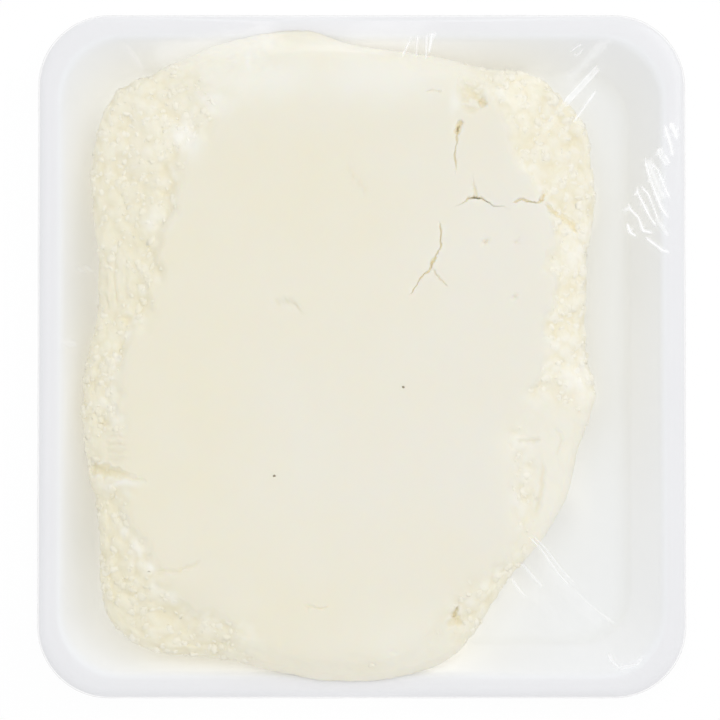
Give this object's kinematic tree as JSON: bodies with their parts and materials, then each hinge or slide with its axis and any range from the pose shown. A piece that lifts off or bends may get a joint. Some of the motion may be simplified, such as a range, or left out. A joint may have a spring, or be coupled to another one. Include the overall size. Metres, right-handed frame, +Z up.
{
  "type": "cream cheese in a wrapped foam tray",
  "caption": "Slab of fresh cream cheese with a crumbly edge and a flat, slightly cracked top, in a shallow foam tray under clear stretch film.",
  "frame": {"origin": "middle of the pack's underside, on the surface it stands on", "axes": "+Z up, +Y towards the tray's far end, +X to its right, as seen from above"},
  "size_m": [0.1354, 0.1428, 0.0237],
  "materials": {
    "foam": "white expanded foam with a soft satin skin",
    "cheese": "moist matte fresh cheese, smooth where pressed and crumbly at the edge",
    "film": "clear glossy stretch film with a few tight creases"
  },
  "bodies": {
    "root": {"foam_tray": "foam", "cheese": "cheese", "film": "film"}
  },
  "joints": []
}
